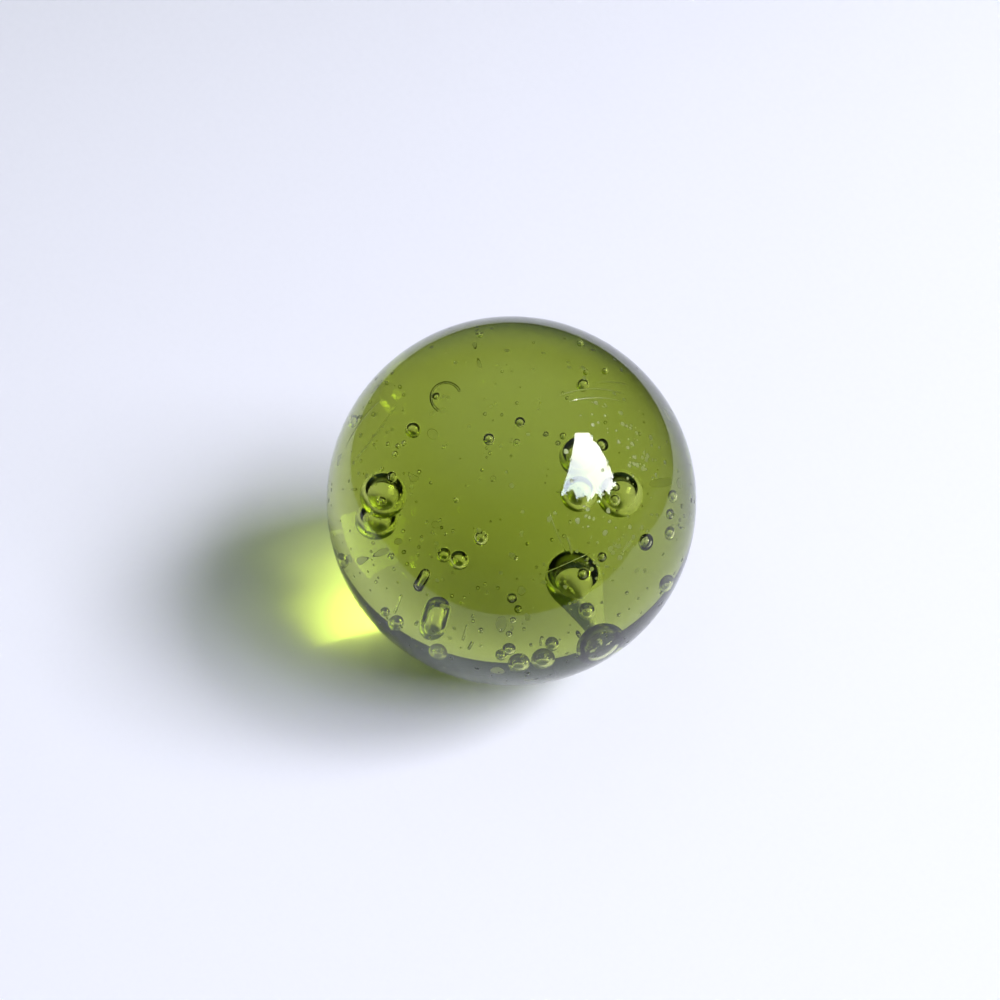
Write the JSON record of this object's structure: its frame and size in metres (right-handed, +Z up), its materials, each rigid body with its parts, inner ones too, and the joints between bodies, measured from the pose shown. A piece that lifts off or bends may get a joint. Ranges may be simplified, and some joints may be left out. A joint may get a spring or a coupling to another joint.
{
  "type": "glass ball",
  "caption": "Solid green glass marble, cast in one piece, with round and drawn-out air bubbles trapped in the glass.",
  "frame": {"origin": "centre of the ball", "axes": "+Z up as the ball lies in the picture, +Y level and away from the eye, +X to the right"},
  "size_m": [0.016, 0.016, 0.016],
  "materials": {
    "green_glass": "clear olive-green glass, smooth, with fine handling marks"
  },
  "bodies": {
    "root": {"glass_ball": "green_glass"}
  },
  "joints": []
}
